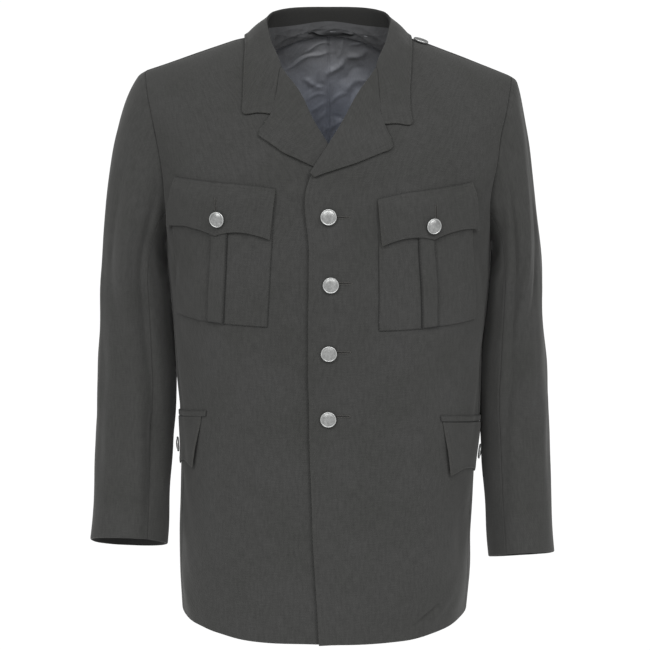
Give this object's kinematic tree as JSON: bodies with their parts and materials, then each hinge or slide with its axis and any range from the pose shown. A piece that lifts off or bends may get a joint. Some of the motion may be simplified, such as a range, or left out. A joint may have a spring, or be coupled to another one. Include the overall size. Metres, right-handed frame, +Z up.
{
  "type": "army uniform jacket",
  "caption": "Grey wool single-breasted army uniform jacket with fold-down collar, notched lapels, pleated chest pockets, hip flaps and metal buttons, in its worn shape.",
  "frame": {"origin": "on the wearer's centre line at the height where the shoulders meet the neck, inside the neck opening: the jacket is held there by the wearer's shoulders", "axes": "+Z up, the front faces -Y, and +X is towards the wearer's left"},
  "size_m": [0.6053, 0.2935, 0.7845],
  "materials": {
    "wool": "matt dark grey fine wool gabardine",
    "lining": "blue-grey lining cloth with a slight sheen",
    "button_metal": "silver-grey stamped metal, softly worn"
  },
  "bodies": {
    "root": {"front_left": "wool", "front_right": "wool", "side_left": "wool", "side_right": "wool", "back_left": "wool", "back_right": "wool", "sleeve_left_top": "wool", "sleeve_left_under": "wool", "sleeve_right_top": "wool", "sleeve_right_under": "wool", "collar": "wool", "lapel_left": "wool", "lapel_right": "wool", "chest_pocket_left": "wool", "chest_pocket_right": "wool", "chest_pleat_left": "wool", "chest_pleat_right": "wool", "chest_flap_left": "wool", "chest_flap_right": "wool", "hip_jet_left": "wool", "hip_jet_right": "wool", "hip_flap_left": "wool", "hip_flap_right": "wool", "lining_back": "lining", "hanger_loop": "lining", "front_button_1": "button_metal", "front_button_2": "button_metal", "front_button_3": "button_metal", "front_button_4": "button_metal", "chest_button_left": "button_metal", "chest_button_right": "button_metal", "hip_button_left": "button_metal", "hip_button_right": "button_metal", "shoulder_button_left": "button_metal"}
  },
  "joints": []
}
